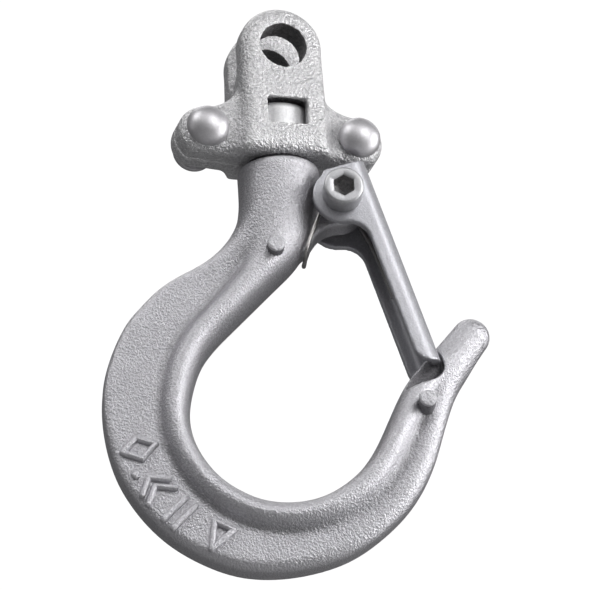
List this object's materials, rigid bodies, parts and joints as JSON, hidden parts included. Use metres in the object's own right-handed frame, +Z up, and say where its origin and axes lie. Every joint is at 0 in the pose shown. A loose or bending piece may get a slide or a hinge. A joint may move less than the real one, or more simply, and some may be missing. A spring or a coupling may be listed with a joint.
{
  "type": "swivel safety hook",
  "caption": "Forged hook with a sprung channel latch, swivelling in a riveted two-half yoke with an eye and slot for a chain end.",
  "frame": {"origin": "centre of the yoke's eye, on the parting plane of the two yoke halves", "axes": "+Z up along the load line, X across the yoke, Y along the eye with the front at -Y"},
  "size_m": [0.064, 0.0216, 0.1005],
  "materials": {
    "yoke_paint": "coarse-textured silver paint over a cast surface",
    "rivet_paint": "smooth satin silver-grey",
    "hook_paint": "fine-grained silver-grey over a blasted forging",
    "latch_steel": "fine blasted silver-grey",
    "bolt_steel": "satin",
    "spring_steel": "drawn wire"
  },
  "bodies": {
    "yoke": {"yoke_front_half": "yoke_paint", "yoke_back_half": "yoke_paint", "yoke_rivet_left": "rivet_paint", "yoke_rivet_right": "rivet_paint"},
    "hook": {"hook_forging": "hook_paint", "latch_spring": "spring_steel"},
    "latch": {"safety_latch": "latch_steel", "latch_pivot_bolt": "bolt_steel", "latch_lock_nut": "bolt_steel"}
  },
  "joints": [
    {"name": "hook_swivel", "type": "hinge", "parent": "yoke", "child": "hook", "pos_m": [0, 0, -0.0125], "axis": [0, 0, 1], "continuous": true},
    {"name": "latch_pivot", "type": "hinge", "parent": "hook", "child": "latch", "pos_m": [0.00984, -0.00204, -0.02759], "axis": [0.2028, 0.9792, 0], "range_deg": [0, 50], "stiffness_Nm_per_rad": 0.08, "springref_deg": -34.38, "deforming": ["latch_spring"]}
  ]
}
